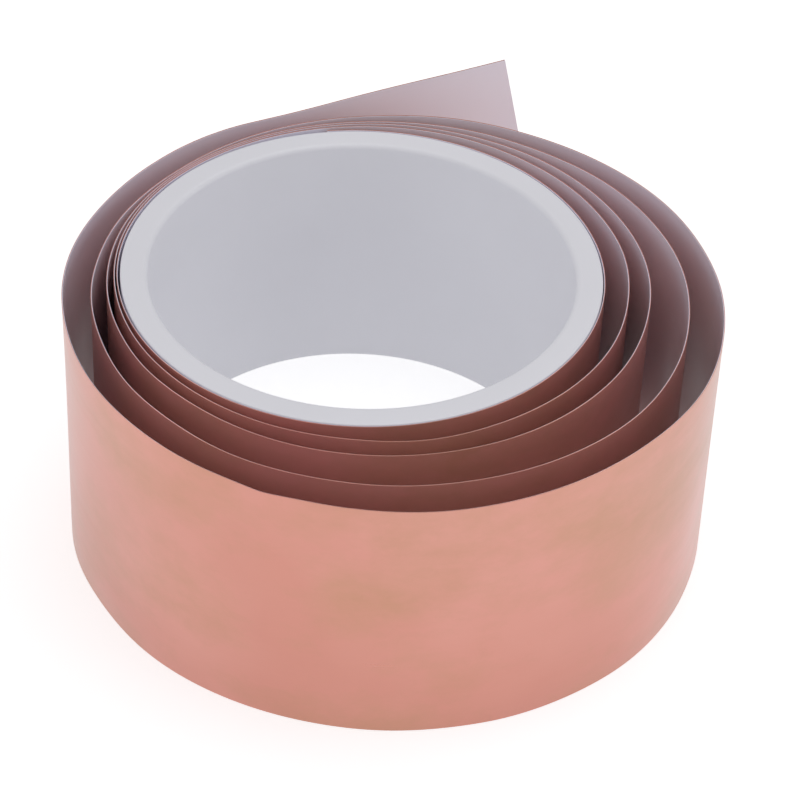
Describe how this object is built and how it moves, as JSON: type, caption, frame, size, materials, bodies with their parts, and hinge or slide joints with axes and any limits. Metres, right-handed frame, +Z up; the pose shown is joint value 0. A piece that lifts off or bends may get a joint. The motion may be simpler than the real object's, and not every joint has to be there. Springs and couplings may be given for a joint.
{
  "type": "copper foil tape roll",
  "caption": "Wide self-adhesive copper foil tape wound loosely on a plastic core, standing on its edge with its free end pulled out straight.",
  "frame": {"origin": "on the axis of the core's bore, halfway up the core", "axes": "+Z up along the core's axis as the roll stands on its edge; +X to the right and +Y away for a viewer who sees the free tail leave behind the coil towards the right"},
  "size_m": [0.1168, 0.1387, 0.0508],
  "materials": {
    "core_plastic": "smooth white, satin",
    "copper_foil": null,
    "adhesive": "clear acrylic adhesive, tacky",
    "release_liner": "clear glossy release film, red-brown from the copper behind it"
  },
  "bodies": {
    "core": {"core": "core_plastic"},
    "coil": {"foil_coil": "copper_foil", "adhesive_coil": "adhesive", "liner_coil": "release_liner"},
    "tail_1": {"foil_tail_1": "copper_foil", "adhesive_tail_1": "adhesive", "liner_tail_1": "release_liner"},
    "tail_2": {"foil_tail_2": "copper_foil", "adhesive_tail_2": "adhesive", "liner_tail_2": "release_liner"},
    "tail_3": {"foil_tail_3": "copper_foil", "adhesive_tail_3": "adhesive", "liner_tail_3": "release_liner"},
    "liner_corner": {"liner_corner": "release_liner"}
  },
  "joints": [
    {"name": "coil_turn", "type": "hinge", "parent": "core", "child": "coil", "pos_m": [0, 0, 0], "axis": [0, 0, 1], "continuous": true},
    {"name": "tail_bend_1", "type": "hinge", "parent": "coil", "child": "tail_1", "pos_m": [-0.01984, 0.04555, 0], "axis": [0, 0, 1], "range_deg": [-8, 30]},
    {"name": "tail_bend_2", "type": "hinge", "parent": "tail_1", "child": "tail_2", "pos_m": [-0.00469, 0.05326, 0], "axis": [0, 0, 1], "range_deg": [-8, 30]},
    {"name": "tail_bend_3", "type": "hinge", "parent": "tail_2", "child": "tail_3", "pos_m": [0.01045, 0.06098, 0], "axis": [0, 0, 1], "range_deg": [-8, 30]},
    {"name": "liner_peel", "type": "hinge", "parent": "tail_3", "child": "liner_corner", "pos_m": [0.02284, 0.06717, 0.0174], "axis": [0.6239, 0.3179, -0.7139], "range_deg": [0, 150]}
  ],
  "couplings": [
    {"joint": "tail_bend_2", "follows": "tail_bend_1", "ratio": 1},
    {"joint": "tail_bend_3", "follows": "tail_bend_1", "ratio": 1}
  ]
}
